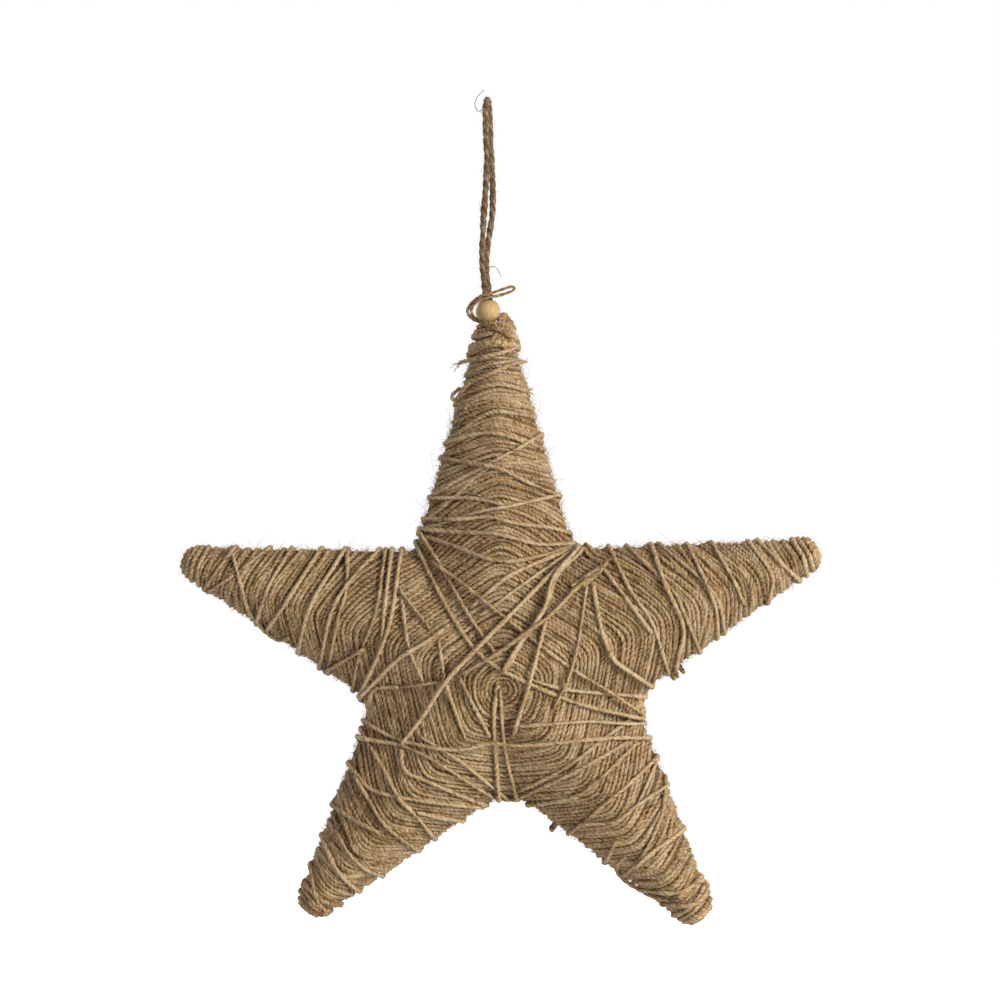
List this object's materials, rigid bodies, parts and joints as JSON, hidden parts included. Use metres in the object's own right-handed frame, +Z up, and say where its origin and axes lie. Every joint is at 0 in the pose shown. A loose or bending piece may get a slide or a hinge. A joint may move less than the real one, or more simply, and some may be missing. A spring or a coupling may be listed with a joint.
{
  "type": "hanging star ornament",
  "caption": "Puffy pointed star wound all over in jute twine, with crossing wraps and loose ends, hung by a loop of jute cord through a small wooden bead.",
  "frame": {"origin": "inside of the loop's top, the point that rests on the hook", "axes": "+Z up along the hanging loop, +X to the right across the star seen from its front, the front faces -Y"},
  "size_m": [0.3048, 0.056, 0.3956],
  "materials": {
    "jute_twine": "tightly wound two-ply jute, matt and hairy",
    "bead_wood": "pale turned wood, smooth and unvarnished",
    "jute_cord": "twisted jute cord, matt and hairy"
  },
  "bodies": {
    "root": {"star_body": "jute_twine", "wooden_bead": "bead_wood", "hanging_loop": "jute_cord"}
  },
  "joints": []
}
